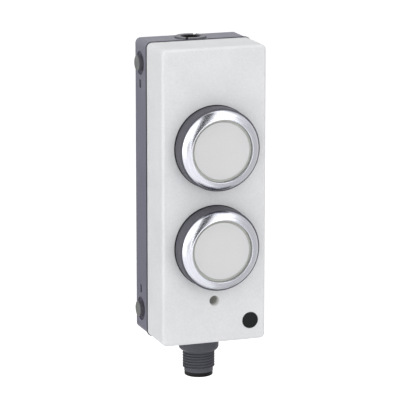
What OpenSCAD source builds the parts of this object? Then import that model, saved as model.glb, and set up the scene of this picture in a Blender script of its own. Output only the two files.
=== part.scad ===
// Control station with two illuminated push buttons, a status light and a round plug connector.
// Millimetres, +Z up. The origin is the centre of the mounting face, and the front faces -Y.
// Most modules are written in the panel frame: x to the right, y up, z out of the mounting face.

/* [Housing] */
// Width of the housing
body_w = 40; // [38:0.5:60]
// Height of the housing
body_h = 110; // [108:1:160]
// Depth of the rear housing, from the mounting face to the seam
base_d = 12.8; // [12.4:0.1:16]
// Depth of the front cover, from the seam to the panel
cover_d = 17.3; // [17:0.1:24]
// Width of the seam that shows between the two casings
seam = 0.4; // [0.3:0.05:0.6]
// Radius of the four long corners
corner_r = 2; // [1.6:0.1:3]
// Radius of the rounded front edge of the cover
edge_r = 1.2; // [0.8:0.1:1.5]
// Height by which the gasket in the seam stands proud of both casings
gasket_proud = 0.3; // [0.1:0.05:0.5]
// Thickness of the side walls of both casings
wall = 2.4; // [2.2:0.1:2.8]
// Thickness of the back wall
back_t = 3; // [2.6:0.1:3.4]
// Thickness of the front panel
panel_t = 3; // [2.4:0.1:3.6]
// Depth of the relief pockets in the mounting face
pocket_depth = 0.6; // [0.3:0.1:1]

/* [Mounting] */
// Distance between the two mounting holes
mount_pitch = 65; // [64:0.5:67]
// Diameter of a mounting hole
mount_hole_d = 5.3; // [4.3:0.1:6.4]
// Diameter of the access hole for its screw head in the circuit board
mount_access_d = 9.4; // [9:0.1:10]

/* [Side screws and hooks] */
// Distance of a side screw from the nearer end of the housing
side_screw_inset = 8.6; // [8.2:0.1:9]
// Distance of the side screws and hook windows from the mounting face
side_line = 5.4; // [5:0.1:6]
// Diameter of a side screw's head
side_head_d = 5.7; // [5:0.1:6.4]
// Height of that head
side_head_h = 1.9; // [1.5:0.1:2.3]
// Diameter of the round recess under that head
side_recess_d = 8.8; // [7.5:0.1:9.4]
// Depth of that recess
side_recess_depth = 0.5; // [0.3:0.1:0.8]
// Diameter of the side screw's shank
side_shank_d = 2.9; // [2.5:0.1:3.2]
// Distance of a snap hook from the nearer end of the housing
hook_inset = 16.3; // [15.8:0.1:17]
// Width of a snap hook
hook_w = 2.4; // [2:0.1:2.8]

/* [Buttons] */
// Distance between the two buttons
button_pitch = 37; // [36:0.5:38]
// Outer diameter of the dark collar
collar_d = 30.6; // [30.2:0.1:31.6]
// Height of the collar above its seal
collar_h = 5.6; // [5.4:0.1:7]
// Thickness of the floor inside the collar
collar_floor_t = 1; // [0.8:0.1:1.2]
// Bore of the collar above its floor
collar_bore_d = 26; // [25.8:0.1:27]
// Thickness of the seal between the collar and the panel
collar_seal_t = 0.5; // [0.4:0.1:0.8]
// Width by which that seal shows round the collar
collar_seal_out = 0.2; // [0.05:0.05:0.4]
// Wall of the sleeve that goes through the panel
sleeve_wall = 1.7; // [1.6:0.1:1.9]
// Length of the sleeve behind the panel
sleeve_below = 7.5; // [7:0.1:8]
// Outer diameter of the metal bezel
bezel_d = 29.4; // [28.8:0.1:29.8]
// Diameter of the bezel's opening
bezel_bore_d = 23; // [22.8:0.1:23.4]
// Height of the crowned bezel above the collar
crown_h = 2.9; // [2.4:0.1:3.4]
// Radius of the bezel's crowned face, seen in section
crown_r = 4.6; // [4:0.1:8]
// Distance from the top of the bezel down to the lens
lens_recess = 1.1; // [0.8:0.1:1.3]
// Width of the low band round the raised face of the lens
lens_band = 0.7; // [0.5:0.1:1.2]
// Whole height of the lens
lens_h = 3; // [2.9:0.1:3.1]
// Travel of a button
travel = 3; // [2:0.1:3]
// Outer diameter of the plunger
plunger_d = 18; // [17.6:0.1:18.2]
// Wall of the plunger
plunger_wall = 1.4; // [1.2:0.1:1.6]
// Width across the flats of the fixing nut
nut_af = 27; // [26:0.2:28]
// Thickness of the fixing nut
nut_t = 3; // [2.4:0.1:4]
// Mean diameter of the return spring
spring_d = 13.2; // [12.8:0.1:13.6]
// Diameter of the spring wire
spring_wire_d = 0.8; // [0.6:0.1:0.9]
// Number of turns of the return spring
spring_turns = 5.5; // [4:0.5:7]

/* [Circuit board] */
// Thickness of the circuit board
board_t = 1.6; // [1.2:0.1:2]
// Height of the posts that carry the board
post_h = 4; // [3.6:0.1:4.4]
// Height of a contact block
block_h = 8; // [7.6:0.1:8.4]
// Width of a contact block
block_w = 24; // [23.6:0.1:25]
// Length of a contact block along the housing
block_l = 17; // [14:0.5:18]

/* [Status light and inlay] */
// Distance of the status light from the edge of the lower collar
status_gap = 5.2; // [4.8:0.1:6]
// Diameter of the window of the status light
status_d = 3.8; // [3.4:0.1:4.4]
// Distance from the panel down to the rim of the status light's lens
status_recess = 0.3; // [0.1:0.1:0.8]
// Depth of the round dish in the face of that lens
status_dish = 0.6; // [0.3:0.1:0.8]
// Diameter of the plain round inlay
inlay_d = 6.2; // [5:0.1:7]
// Distance of the inlay's centre from the right side of the housing
inlay_side = 6; // [5:0.1:8]
// Distance of the inlay's centre from the bottom of the housing
inlay_up = 7.4; // [6:0.1:9]
// Thickness of the inlay
inlay_t = 0.45; // [0.3:0.05:0.8]

/* [Connector] */
// Distance of the connector's axis from the mounting face
conn_z = 13; // [12.8:0.1:13.4]
// Radius of the tongue of the rear housing that holds the connector
tongue_r = 9; // [8.6:0.1:10]
// Diameter of the connector's flange
flange_d = 15; // [14.6:0.1:15.6]
// Thickness of the flat seal above the flange
conn_seal_t = 0.5; // [0.4:0.1:0.8]
// Height of the straight part of the flange
flange_h = 4.7; // [4:0.1:5.5]
// Radius of the flange's rounded lower edge
flange_round = 1.7; // [1:0.1:1.8]
// Diameter of the neck above the thread
neck_d = 11.5; // [11:0.1:11.6]
// Height of the neck
neck_h = 0.7; // [0.4:0.1:1.4]
// Diameter of the thread
thread_d = 12; // [11.9:0.1:12.1]
// Length of the thread
thread_len = 5.8; // [5:0.1:8]
// Diameter of the plain end
spigot_d = 10.6; // [10.4:0.1:10.7]
// Length of the plain end
spigot_len = 1.5; // [1:0.1:3]
// Length of the black lip at the very end
lip_len = 1.6; // [1:0.1:2]
// Depth of the socket inside the connector
socket_depth = 8.6; // [7.5:0.1:9]
// Diameter of a contact pin
pin_d = 1; // [0.8:0.1:1.1]
// Distance of the outer pins from the connector's axis
pin_circle_r = 2.5; // [2.3:0.1:2.7]
// Width across the flats of the locknut
locknut_af = 14.5; // [14:0.1:15]
// Thickness of the locknut
locknut_t = 2.8; // [2.2:0.1:3]

/* [Top ring] */
// Distance of the ring's axis from the middle, to the left
ring_x = 0.8; // [0:0.1:3]
// Distance left between the ring and each face of the rear housing
ring_margin = 0.8; // [0.7:0.1:1.2]
// Width of the ring, from its bore to its outer edge
ring_w = 2.1; // [1.8:0.1:2.4]
// Height of the notched ring
ring_h = 1.8; // [1.4:0.1:2.2]
// Depth of the round seat that the ring lies in
ring_seat_depth = 1.2; // [1:0.1:1.4]
// Width of the gap round the ring in that seat
ring_seat_gap = 0.3; // [0.2:0.1:0.4]

/* [Hidden] */
$fn = 96;
eps = 0.01;

// Clearances
slip = 0.1;          // between two fixed pieces, one inside the other
run = 0.3;           // between a piece that moves and what guides it

// Heights in the panel frame
cover_z = base_d + seam;
panel_z = cover_z + cover_d;
panel_in = panel_z - panel_t;
collar_z = panel_z + collar_seal_t;
floor_z = collar_z + collar_floor_t;
collar_top = collar_z + collar_h;
bezel_top = collar_top + crown_h;
lens_top = bezel_top - lens_recess;
lens_bottom = lens_top - lens_h;
sleeve_end = panel_in - sleeve_below;
board_z = back_t + post_h;
board_top = board_z + board_t;
block_top = board_top + block_h;

// Contact block and plunger
slot_floor = 1;
pad_t = 0.5;
bridge_t = 0.5;
contact_gap = 0.3;
foot_w = 4.8;
leg_tip = board_top + slot_floor + pad_t + contact_gap + travel + bridge_t;
plunger_r = plunger_d / 2;
plunger_in = plunger_r - plunger_wall;
sleeve_d = 2 * (plunger_r + run + sleeve_wall);
plunger_end = sleeve_end + 1.5;
nose_out = 1.2;
nose_h = 1.1;
flange_t = 0.8;
diffuser_t = 0.6;
web_t = 1.4;
web_drop = 5.4;
web_z = lens_bottom - web_drop;
web_hole_r = 5.2;
lens_r = bezel_bore_d / 2 - run;
lens_skirt_t = 0.85;
lens_bore_r = lens_r - lens_skirt_t;
lens_face_r = lens_r - lens_band;
lens_step_z = lens_top - 0.8;
lens_edge_r = 0.25;
seat_gap = 0.05;

// Seal in the sleeve
wiper_h = 1.3;
wiper_up = 8.45;
wiper_z = sleeve_end + wiper_up;
wiper_groove = 0.65;

// Walls of the inside
in_w = body_w - 2 * wall;
in_h = body_h - 2 * wall;
in_r = corner_r / 2 + 0.2;
post_r = 3;
board_screw_r = 1;
board_screw_play = 0.2;
board_head_r = 2.1;
board_head_h = 1.3;

// Legs and hooks of the cover
leg_t = 3.2;
leg_w = 7;
leg_end = back_t + 0.6;
hook_t = 1.2;
hook_gap = 0.3;
window_w = hook_w + 0.6;
window_h = 2;
side_screw_y = body_h / 2 - side_screw_inset;
hook_y = body_h / 2 - hook_inset;

// Board between the legs, and its four posts
board_side_gap = run + leg_t + 1.1;
board_end_gap = 3.9;
board_w = in_w - 2 * board_side_gap;
board_h = in_h - 2 * board_end_gap;
post_side_gap = 2.5;
post_end_gap = 12.2;
post_x = board_w / 2 - post_side_gap;
post_y = board_h / 2 - post_end_gap;

// Status light and inlay
status_y = button_pitch / 2 + collar_d / 2 + status_gap;
inlay_x = body_w / 2 - inlay_side;
inlay_y = body_h / 2 - inlay_up;
status_lens_r = status_d / 2 - slip;
status_dish_r = (status_lens_r * status_lens_r + status_dish * status_dish) / (2 * status_dish);
status_boss_h = 5;
status_led_h = 1.2;
status_foot_t = 1;

// Connector, measured downwards from the bottom wall
flange_end = conn_seal_t + flange_h;
flange_core_r = flange_d / 2 - flange_round;
neck_start = flange_end + flange_round;
thread_start = neck_start + neck_h;
spigot_start = thread_start + thread_len;
lip_start = spigot_start + spigot_len;
conn_end = lip_start + lip_len;
stem_r = 5.9;
stem_over = 0.4;
stem_in = wall + locknut_t + stem_over;
shell_bore_r = 4.65;
insert_r = shell_bore_r - 0.05;
socket_r = 4.1;
insert_in = stem_in + stem_over;
pin_hole_r = pin_d / 2 + 0.05;
pin_tip_gap = 1.5;
first_bend = insert_in + 0.6;
bend_step = 0.45;
key_w = 1.2;

// Top ring
ring_z = base_d / 2;
ring_r = base_d / 2 - ring_margin;
ring_bore_r = ring_r - ring_w;
ring_y = body_h / 2 - ring_seat_depth;
stem_top_r = ring_bore_r - 0.7;
insert_face = ring_h - 0.25;
insert_end = wall + 0.8;
notch_w = 1.1;
notch_depth = 0.9;

// Turns the panel frame into the frame of the part
module panel_frame() {
    rotate([90, 0, 0]) children();
}

// Puts children at the upper or the lower button
module at_button(side) {
    panel_frame() translate([0, side * button_pitch / 2, 0]) children();
}

// Puts children on the connector's axis, pointing down from the bottom wall
module at_connector() {
    panel_frame() translate([0, -body_h / 2, conn_z]) rotate([90, 0, 0]) children();
}

// Outline with four round corners
module rounded_outline(w, h, r) {
    square([w - 2 * r, h], center = true);
    square([w, h - 2 * r], center = true);
    for (x = [-1, 1], y = [-1, 1])
        translate([x * (w / 2 - r), y * (h / 2 - r)]) circle(r);
}

// Ring between two radii
module ring(r_out, r_in, h) {
    difference() {
        cylinder(r = r_out, h = h);
        translate([0, 0, -1]) cylinder(r = r_in, h = h + 2);
    }
}

// Section of a block, with its two top corners rounded
module arched_section(w, h, r) {
    translate([-w / 2, 0]) square([w, h - r]);
    translate([-w / 2 + r, 0]) square([w - 2 * r, h]);
    for (x = [-1, 1]) translate([x * (w / 2 - r), h - r]) circle(r);
}

// Block with round long corners and a rounded front edge
module soft_block(w, h, r, t, f) {
    rotate([90, 0, 0]) linear_extrude(height = h - 2 * r, center = true) arched_section(w, t, f);
    rotate([90, 0, 90]) linear_extrude(height = w - 2 * r, center = true) arched_section(h, t, f);
    for (x = [-1, 1], y = [-1, 1]) translate([x * (w / 2 - r), y * (h / 2 - r), 0])
        rotate_extrude() intersection() {
            arched_section(2 * r, t, f);
            square([r, t]);
        }
}

// Outline of the tongue that carries the connector, wider all round by grow
module tongue_outline(grow) {
    translate([0, conn_z]) circle(tongue_r + grow);
    translate([-tongue_r - grow, base_d - 1]) square([2 * (tongue_r + grow), conn_z - base_d + 1]);
}

// Slab of the bottom wall with that outline
module tongue_slab(grow, t, lift) {
    translate([0, -body_h / 2 + t + lift, 0]) rotate([90, 0, 0]) linear_extrude(height = t)
        tongue_outline(grow);
}

// Dark tray that is screwed to the wall
module rear_housing() {
    color([0.45, 0.45, 0.48]) panel_frame() difference() {
        union() {
            difference() {
                linear_extrude(height = base_d) rounded_outline(body_w, body_h, corner_r);
                translate([0, 0, back_t]) linear_extrude(height = base_d)
                    rounded_outline(in_w, in_h, in_r);
            }
            tongue_slab(0, wall, 0);
            for (x = [-1, 1], y = [-1, 1]) translate([x * post_x, y * post_y, back_t - eps])
                cylinder(r = post_r, h = post_h + eps);
        }
        for (x = [-1, 1], y = [-1, 1]) translate([x * post_x, y * post_y, back_t])
            cylinder(r = board_screw_r + slip, h = post_h + 1);
        for (y = [-1, 1]) translate([0, y * mount_pitch / 2, -1])
            cylinder(d = mount_hole_d, h = back_t + 2);
        back_pockets();
        for (x = [-1, 1], y = [-1, 1]) side_screw_cut(x, y);
        for (x = [-1, 1], y = [-1, 1]) translate([x * body_w / 2, y * hook_y, side_line])
            cube([4 * wall, window_w, window_h], center = true);
        translate([0, -body_h / 2 + wall + 1, conn_z]) rotate([90, 0, 0])
            cylinder(r = stem_r + slip, h = wall + 2);
        top_ring_cut();
    }
}

// Four shallow pockets that leave a rim and a cross to stand on
module back_pockets() {
    rib = 12;
    rim = 4;
    for (x = [-1, 1], y = [-1, 1])
        translate([x * (body_w / 2 - rim + rib / 2) / 2, y * (body_h / 2 - 2 * rim + rib / 2) / 2, 0])
            cube([body_w / 2 - rim - rib / 2, body_h / 2 - 2 * rim - rib / 2, 2 * pocket_depth],
                center = true);
}

// Recess and hole for one side screw
module side_screw_cut(x, y) {
    translate([x * body_w / 2, y * side_screw_y, side_line]) rotate([0, -90 * x, 0]) {
        translate([0, 0, -1]) cylinder(d = side_recess_d, h = side_recess_depth + 1);
        cylinder(d = side_shank_d + 2 * slip, h = wall + 1);
    }
}

// Round seat in the top wall, open at the back edge and flat at the front
module top_ring_cut() {
    seat_flat = base_d - 0.5;
    seat_r = ring_r + ring_seat_gap;
    translate([-ring_x, body_h / 2 + 1, 0]) rotate([90, 0, 0]) intersection() {
        translate([0, ring_z, 0]) cylinder(r = seat_r, h = ring_seat_depth + 1);
        translate([-2 * seat_r, -1, -1]) cube([4 * seat_r, seat_flat + 1, ring_seat_depth + 3]);
    }
    translate([-ring_x, body_h / 2, ring_z]) rotate([90, 0, 0])
        cylinder(r = stem_top_r + slip, h = wall + 1);
}

// Light cover with the panel, its legs and hooks
module front_cover() {
    color([0.87, 0.87, 0.88]) panel_frame() {
        difference() {
            translate([0, 0, cover_z]) difference() {
                soft_block(body_w, body_h, corner_r, cover_d, edge_r);
                translate([0, 0, -1]) linear_extrude(height = cover_d - panel_t + 1)
                    rounded_outline(in_w, in_h, in_r);
            }
            for (y = [-1, 1]) translate([0, y * button_pitch / 2, panel_in - 1])
                cylinder(d = sleeve_d + 2 * slip, h = panel_t + 2);
            translate([0, -status_y, panel_in - 1]) cylinder(d = status_d, h = panel_t + 2);
            translate([inlay_x, -inlay_y, panel_z - inlay_t + seat_gap])
                cylinder(d = inlay_d, h = inlay_t + 1);
            tongue_slab(seam, wall + 2, -1);
        }
        status_boss();
        for (x = [-1, 1], y = [-1, 1]) {
            cover_leg(x, y);
            cover_hook(x, y);
        }
    }
}

// Tube behind the panel that carries the light guide
module status_boss() {
    translate([0, -status_y, panel_in - status_boss_h]) ring(status_d / 2 + 1.4, status_d / 2,
        status_boss_h + eps);
}

// Leg that a side screw goes into
module cover_leg(x, y) {
    outer = in_w / 2 - run;
    translate([x * (outer - leg_t / 2), y * side_screw_y, 0]) difference() {
        translate([-leg_t / 2, -leg_w / 2, leg_end]) cube([leg_t, leg_w, panel_in - leg_end + eps]);
        translate([0, 0, side_line]) rotate([0, 90, 0])
            cylinder(d = side_shank_d + 2 * slip, h = leg_t + 2, center = true);
    }
}

// Hook whose nose snaps into a window of the rear housing
module cover_hook(x, y) {
    outer = in_w / 2 - hook_gap;
    bottom = side_line - window_h / 2 + 0.2;
    translate([0, y * hook_y, 0]) rotate([90, 0, 0]) linear_extrude(height = hook_w, center = true)
        scale([x, 1]) polygon([
            [outer - hook_t, panel_in + eps], [outer - hook_t, bottom], [outer, bottom],
            [outer + 1.2, bottom + window_h - 0.6], [outer, bottom + window_h - 0.4],
            [outer, panel_in + eps]]);
}

// Gasket in the seam, which stands proud of it and rises round the tongue
module housing_gasket() {
    proud = gasket_proud;
    color([0.16, 0.16, 0.17]) panel_frame() {
        difference() {
            translate([0, 0, base_d]) linear_extrude(height = seam) difference() {
                rounded_outline(body_w + 2 * proud, body_h + 2 * proud, corner_r + proud);
                rounded_outline(in_w, in_h, in_r);
            }
            tongue_slab(seat_gap, wall + 2, -1);
        }
        difference() {
            tongue_slab(seam - seat_gap, wall + proud, -proud);
            tongue_slab(seat_gap, wall + 2, -1);
            translate([-body_w, -body_h, 0]) cube([2 * body_w, body_h, base_d]);
        }
    }
}

// Four screws in the sides, whose flat heads have a rounded edge
module side_screws() {
    shank = wall - side_recess_depth + run + leg_t;
    edge = 0.3;
    color([0.5, 0.5, 0.53]) panel_frame() for (x = [-1, 1], y = [-1, 1])
        translate([x * (body_w / 2 - side_recess_depth), y * side_screw_y, side_line])
            rotate([0, 90 * x, 0]) {
                rotate_extrude() {
                    square([side_head_d / 2, side_head_h - edge]);
                    square([side_head_d / 2 - edge, side_head_h]);
                    translate([side_head_d / 2 - edge, side_head_h - edge]) circle(edge);
                }
                translate([0, 0, -shank]) cylinder(d = side_shank_d, h = shank + eps);
            }
}

// Notched ring in the top wall
module top_ring() {
    color([0.47, 0.47, 0.5]) panel_frame() translate([-ring_x, ring_y, ring_z]) rotate([-90, 0, 0])
        difference() {
            ring(ring_r, ring_bore_r, ring_h);
            for (a = [55, 235]) rotate([0, 0, a])
                translate([ring_bore_r - 1, -notch_w / 2, ring_h - notch_depth])
                    cube([2 * ring_r, notch_w, ring_h]);
        }
}

// Black insert inside the ring, with a shallow dish and its stem through the wall
module top_insert() {
    dish = 0.8;
    color([0.08, 0.08, 0.09]) panel_frame() translate([-ring_x, ring_y, ring_z]) rotate([-90, 0, 0])
        difference() {
            union() {
                cylinder(r = ring_bore_r - slip, h = insert_face);
                translate([0, 0, -insert_end]) cylinder(r = stem_top_r, h = insert_end + eps);
            }
            translate([0, 0, insert_face - dish]) cylinder(r = stem_top_r, h = dish + 1);
        }
}

// Circuit board with holes for its screws and for the mounting screws
module circuit_board() {
    color([0.1, 0.35, 0.2]) panel_frame() translate([0, 0, board_z]) linear_extrude(height = board_t)
        difference() {
            square([board_w, board_h], center = true);
            for (x = [-1, 1], y = [-1, 1]) translate([x * post_x, y * post_y])
                circle(board_screw_r + board_screw_play);
            for (y = [-1, 1]) translate([0, y * mount_pitch / 2]) circle(d = mount_access_d);
        }
}

// Four screws that hold the board
module board_screws() {
    color([0.75, 0.75, 0.76]) panel_frame() for (x = [-1, 1], y = [-1, 1])
        translate([x * post_x, y * post_y, 0]) {
            translate([0, 0, back_t + 0.4]) cylinder(r = board_screw_r, h = board_top - back_t - 0.3);
            translate([0, 0, board_top]) cylinder(r = board_head_r, h = board_head_h);
        }
}

// Light source of the status light, on the board
module status_led() {
    color([0.9, 0.9, 0.8]) panel_frame() translate([0, -status_y, board_top]) {
        translate([-1.6, -1.4, 0]) cube([3.2, 2.8, status_led_h / 2]);
        translate([-1.2, -1, 0]) cube([2.4, 2, status_led_h]);
    }
}

// Light guide that ends in the small window, with a dished face
module status_lens() {
    bottom = board_top + status_led_h + run;
    foot = panel_in - status_boss_h - status_foot_t;
    face = panel_z - status_recess;
    color([0.6, 0.6, 0.6]) panel_frame() translate([0, -status_y, 0]) {
        rotate_extrude() difference() {
            translate([0, bottom]) square([status_lens_r, face - bottom]);
            translate([0, face - status_dish + status_dish_r]) circle(status_dish_r);
        }
        translate([0, 0, foot]) cylinder(r = status_d / 2 + 1, h = status_foot_t);
    }
}

// Plain round inlay in the panel
module blank_inlay() {
    color([0.12, 0.12, 0.13]) panel_frame() translate([inlay_x, -inlay_y, panel_z - inlay_t + seat_gap])
        cylinder(d = inlay_d - slip, h = inlay_t);
}

// Shell of the connector, with its flange, neck, thread and plain end
module connector_shell() {
    color([0.3, 0.3, 0.32]) at_connector() rotate_extrude() {
        polygon([
            [shell_bore_r, -stem_in], [stem_r, -stem_in], [stem_r, conn_seal_t],
            [flange_d / 2, conn_seal_t], [flange_d / 2, flange_end], [flange_core_r, flange_end],
            [flange_core_r, neck_start], [neck_d / 2, neck_start],
            [neck_d / 2, thread_start], [thread_d / 2, thread_start], [thread_d / 2, spigot_start],
            [spigot_d / 2, spigot_start], [spigot_d / 2, lip_start], [shell_bore_r, lip_start]]);
        intersection() {
            translate([flange_core_r, flange_end]) circle(flange_round);
            translate([flange_core_r - 0.2, flange_end - 0.2]) square(2 * flange_round);
        }
    }
}

// Black insert that lines the socket and ends in the lip
module connector_insert() {
    floor_c = conn_end - socket_depth;
    color([0.1, 0.1, 0.11]) at_connector() {
        difference() {
            rotate_extrude() polygon([
                [0, -insert_in], [insert_r, -insert_in], [insert_r, lip_start],
                [spigot_d / 2 - slip, lip_start], [spigot_d / 2 - slip, conn_end],
                [socket_r, conn_end], [socket_r, floor_c], [0, floor_c]]);
            for (p = pin_places()) translate([p[0], p[1], -insert_in - 1])
                cylinder(r = pin_hole_r, h = insert_in + conn_end);
        }
        translate([-key_w / 2, socket_r - 0.6, floor_c - eps])
            cube([key_w, 0.9, socket_depth - 1]);
    }
}

// Places of the five pins round the connector's axis
function pin_places() = concat([[0, 0]],
    [for (a = [45, 135, 225, 315]) [pin_circle_r * cos(a), pin_circle_r * sin(a)]]);

// Five pins, each bent down to the board behind the connector
module connector_pins() {
    tip = conn_end - pin_tip_gap;
    color([0.8, 0.68, 0.35]) at_connector() for (p = pin_places()) {
        bend = first_bend + bend_step * (pin_circle_r + p[1]);
        drop = conn_z + p[1] - board_top;
        translate([p[0], p[1], -bend]) {
            cylinder(d = pin_d, h = bend + tip);
            sphere(d = pin_d);
            rotate([90, 0, 0]) cylinder(d = pin_d, h = drop);
        }
    }
}

// Flat seal between the flange and the bottom wall
module connector_seal() {
    color([0.12, 0.12, 0.12]) at_connector() ring(flange_d / 2 - 0.2, stem_r + slip, conn_seal_t);
}

// Hexagon nut that holds the connector from inside
module connector_locknut() {
    color([0.7, 0.7, 0.72]) at_connector() translate([0, 0, -wall - locknut_t]) difference() {
        cylinder(r = locknut_af / sqrt(3), h = locknut_t, $fn = 6);
        translate([0, 0, -1]) cylinder(r = stem_r + seat_gap, h = locknut_t + 2);
    }
}

// Thin seal under the collar
module collar_seal() {
    color([0.12, 0.12, 0.13]) translate([0, 0, panel_z])
        ring(collar_d / 2 + collar_seal_out, sleeve_d / 2 + slip, collar_seal_t);
}

// Dark collar in front of the panel, with the sleeve that goes through it
module collar() {
    bore = plunger_r + run;
    out = collar_d / 2;
    bevel = 0.3;
    color([0.41, 0.41, 0.43]) rotate_extrude() polygon([
        [bore, sleeve_end], [sleeve_d / 2, sleeve_end], [sleeve_d / 2, collar_z],
        [out, collar_z], [out, collar_top - bevel], [out - bevel, collar_top],
        [collar_bore_d / 2, collar_top], [collar_bore_d / 2, floor_z], [bore, floor_z],
        [bore, wiper_z + wiper_h], [bore + wiper_groove, wiper_z + wiper_h],
        [bore + wiper_groove, wiper_z], [bore, wiper_z]]);
}

// Metal bezel with a crowned face, whose skirt sits in the collar
module bezel() {
    low = [bezel_d / 2, collar_top + 0.25];
    high = [bezel_bore_d / 2 + 0.2, bezel_top];
    half = norm(high - low) / 2;
    along = (high - low) / (2 * half);
    centre = (low + high) / 2 + sqrt(crown_r * crown_r - half * half) * [-along[1], along[0]];
    skirt_r = collar_bore_d / 2 - slip;
    color([0.78, 0.78, 0.8]) rotate_extrude() {
        translate([bezel_bore_d / 2, floor_z + 1.2]) square([skirt_r - bezel_bore_d / 2,
            collar_top - floor_z - 1]);
        translate([bezel_bore_d / 2, collar_top]) square([(bezel_d - bezel_bore_d) / 2, 0.25]);
        intersection() {
            translate(centre) circle(crown_r, $fn = 200);
            translate([bezel_bore_d / 2, collar_top + 0.2])
                square([(bezel_d - bezel_bore_d) / 2, crown_h - 0.2]);
        }
    }
}

// Hexagon nut behind the panel
module fixing_nut() {
    color([0.62, 0.62, 0.64]) translate([0, 0, panel_in - nut_t]) difference() {
        cylinder(r = nut_af / sqrt(3), h = nut_t, $fn = 6);
        translate([0, 0, -1]) cylinder(r = sleeve_d / 2 + seat_gap, h = nut_t + 2);
    }
}

// Seal in the sleeve, round the plunger
module wiper_seal() {
    color([0.12, 0.12, 0.13]) translate([0, 0, wiper_z + seat_gap])
        ring(plunger_r + run + wiper_groove - seat_gap, plunger_r + run, wiper_h - 2 * seat_gap);
}

// Frosted cap that a finger presses
module lens() {
    plate_z = lens_bottom + flange_t + diffuser_t + slip;
    color([0.85, 0.85, 0.85]) rotate_extrude() {
        difference() {
            translate([0, lens_bottom]) square([lens_r, lens_step_z - lens_bottom]);
            translate([-1, lens_bottom - 1]) square([lens_bore_r + 1, plate_z - lens_bottom + 1]);
        }
        translate([0, lens_step_z - 0.1]) square([lens_face_r, lens_top - lens_edge_r - lens_step_z + 0.1]);
        translate([0, lens_step_z - 0.1]) square([lens_face_r - lens_edge_r, lens_top - lens_step_z + 0.1]);
        intersection() {
            translate([lens_face_r - lens_edge_r, lens_top - lens_edge_r]) circle(lens_edge_r);
            square([lens_face_r, lens_top]);
        }
    }
}

// Milky disc under the lens
module diffuser() {
    color([0.95, 0.95, 0.93]) translate([0, 0, lens_bottom + flange_t])
        cylinder(r = lens_bore_r - slip, h = diffuser_t);
}

// Hollow plunger with two legs, whose noses hold it in the sleeve
module plunger() {
    nose_top = sleeve_end - run;
    color([0.55, 0.56, 0.58]) {
        rotate_extrude() polygon([
            [plunger_in, plunger_end], [plunger_r, plunger_end], [plunger_r, lens_bottom],
            [lens_bore_r - slip, lens_bottom], [lens_bore_r - slip, lens_bottom + flange_t],
            [plunger_in, lens_bottom + flange_t], [plunger_in, web_z + web_t],
            [web_hole_r, web_z + web_t], [web_hole_r, web_z], [plunger_in, web_z]]);
        intersection() {
            translate([0, 0, leg_tip]) ring(plunger_r, plunger_in, plunger_end - leg_tip + 0.5);
            cube([2 * plunger_d, foot_w, 4 * bezel_top], center = true);
        }
        for (s = [0, 180]) rotate([0, 0, s]) rotate([90, 0, 0])
            linear_extrude(height = foot_w - 0.4, center = true) polygon([
                [plunger_r - 0.6, nose_top], [plunger_r + nose_out, nose_top],
                [plunger_r + nose_out, nose_top - 0.4], [plunger_r - 0.2, nose_top - nose_h],
                [plunger_r - 0.6, nose_top - nose_h]]);
    }
}

// Two moving contacts at the tips of the legs
module contact_bridges() {
    color([0.8, 0.65, 0.3]) for (x = [-1, 1])
        translate([x * (plunger_in + plunger_wall / 2), 0, leg_tip - bridge_t / 2])
            cube([plunger_wall, foot_w - 0.8, bridge_t], center = true);
}

// Two fixed contacts on the floors of the slots
module fixed_contacts() {
    color([0.8, 0.65, 0.3]) for (x = [-1, 1])
        translate([x * (plunger_in + plunger_wall / 2), 0, board_top + slot_floor + pad_t / 2])
            cube([plunger_wall + 0.4, foot_w - 0.8, pad_t], center = true);
}

// Contact block on the board, with a slot for each leg
module contact_block() {
    slot_in = plunger_in - 0.5;
    slot_out = plunger_r + nose_out + 0.5;
    color([0.2, 0.2, 0.21]) translate([0, 0, board_top]) difference() {
        union() {
            translate([-block_w / 2, -block_l / 2, 0]) cube([block_w, block_l, block_h * 0.6]);
            translate([-block_w / 2, -block_l / 2 + 1, 0]) cube([block_w, block_l - 2, block_h]);
        }
        for (s = [0, 180]) rotate([0, 0, s])
            translate([slot_in, -foot_w / 2 - 0.4, slot_floor])
                cube([slot_out - slot_in, foot_w + 0.8, block_h]);
    }
}

// Light source in the middle of the contact block
module led() {
    color([0.95, 0.95, 0.9]) translate([0, 0, block_top]) {
        cylinder(r = 2.5, h = 1);
        cylinder(r = 1.9, h = 2.6);
        translate([0, 0, 2.6]) intersection() {
            sphere(r = 1.9);
            cylinder(r = 2, h = 2);
        }
    }
}

// One ring of points round the spring wire, at a turn angle along the helix
function wire_ring(angle, z) = [for (k = [0 : wire_sides - 1])
    let (a = 360 * k / wire_sides, r = spring_d / 2 + spring_wire_d / 2 * cos(a))
    [r * cos(angle), r * sin(angle), z + spring_wire_d / 2 * sin(a)]];
wire_sides = 6;
steps_per_turn = 14;

// Coil spring between the contact block and the web of the plunger
module return_spring() {
    steps = round(spring_turns * steps_per_turn);
    z0 = block_top + spring_wire_d / 2 + seat_gap;
    z1 = web_z - spring_wire_d / 2 - seat_gap;
    points = [for (i = [0 : steps]) each
        wire_ring(i * 360 * spring_turns / steps, z0 + (z1 - z0) * i / steps)];
    sides = [for (i = [0 : steps - 1], k = [0 : wire_sides - 1])
        let (n = (k + 1) % wire_sides, b = i * wire_sides, t = b + wire_sides)
        [b + k, t + k, t + n, b + n]];
    start = [[for (k = [0 : wire_sides - 1]) k]];
    end = [[for (k = [wire_sides - 1 : -1 : 0]) steps * wire_sides + k]];
    color([0.7, 0.7, 0.72]) polyhedron(points, concat(start, sides, end));
}

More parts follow.
